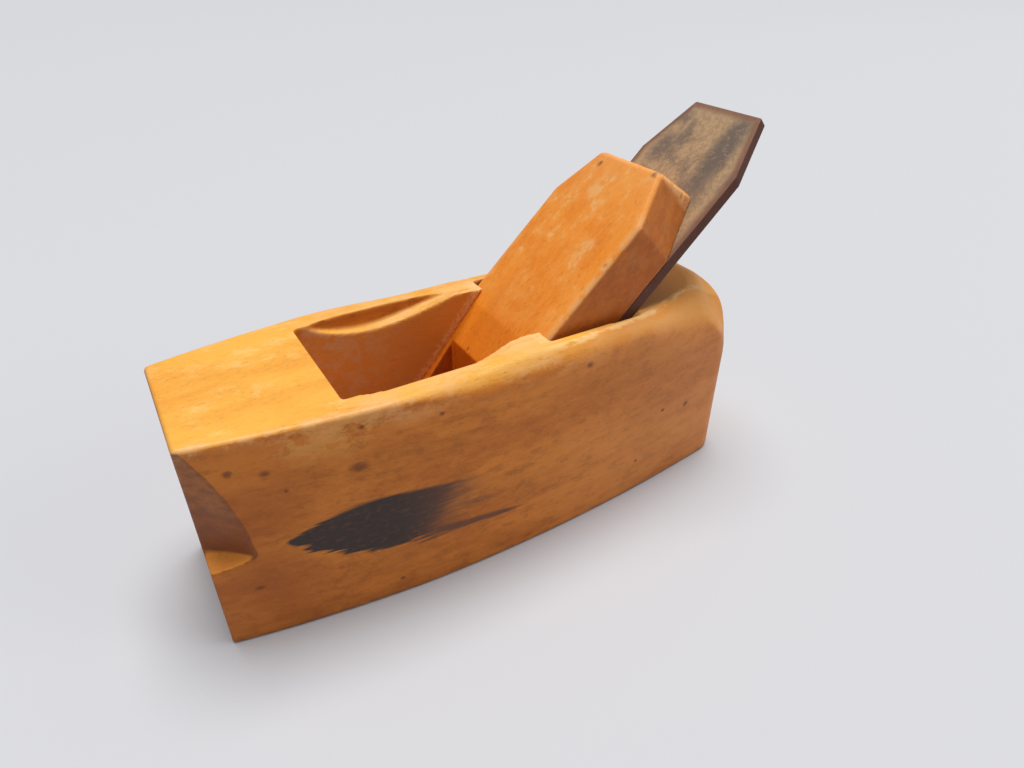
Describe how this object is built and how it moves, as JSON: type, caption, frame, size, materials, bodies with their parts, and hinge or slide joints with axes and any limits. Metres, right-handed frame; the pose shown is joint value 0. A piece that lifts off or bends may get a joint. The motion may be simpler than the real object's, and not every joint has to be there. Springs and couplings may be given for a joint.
{
  "type": "wooden smoothing plane",
  "caption": "Small coffin-shaped wooden hand plane with a single clipped-corner iron held on its bed by a wooden wedge, for smoothing wood.",
  "frame": {"origin": "middle of the sole of the stock, halfway between toe and heel", "axes": "+X from toe to heel, +Y across the stock to one side, +Z from the sole to the top"},
  "size_m": [0.1703, 0.0564, 0.1079],
  "materials": {
    "stock_wood": "old oiled beech, honey brown, hand-worn satin",
    "wedge_wood": "old oiled beech, orange brown, worn satin",
    "iron_plate": "dark patina with a rusty rim",
    "hard_steel": "dull grey, worn bright at the edge"
  },
  "bodies": {
    "stock": {"stock": "stock_wood"},
    "iron": {"iron": "iron_plate", "cutting_steel": "hard_steel"},
    "wedge": {"wedge": "wedge_wood"}
  },
  "joints": [
    {"name": "iron_slide", "type": "slide", "parent": "stock", "child": "iron", "axis": [0.7314, 0, 0.682], "range_m": [-0.001, 0.16]},
    {"name": "wedge_slide", "type": "slide", "parent": "stock", "child": "wedge", "axis": [0.7314, 0, 0.682], "range_m": [0, 0.145]}
  ]
}
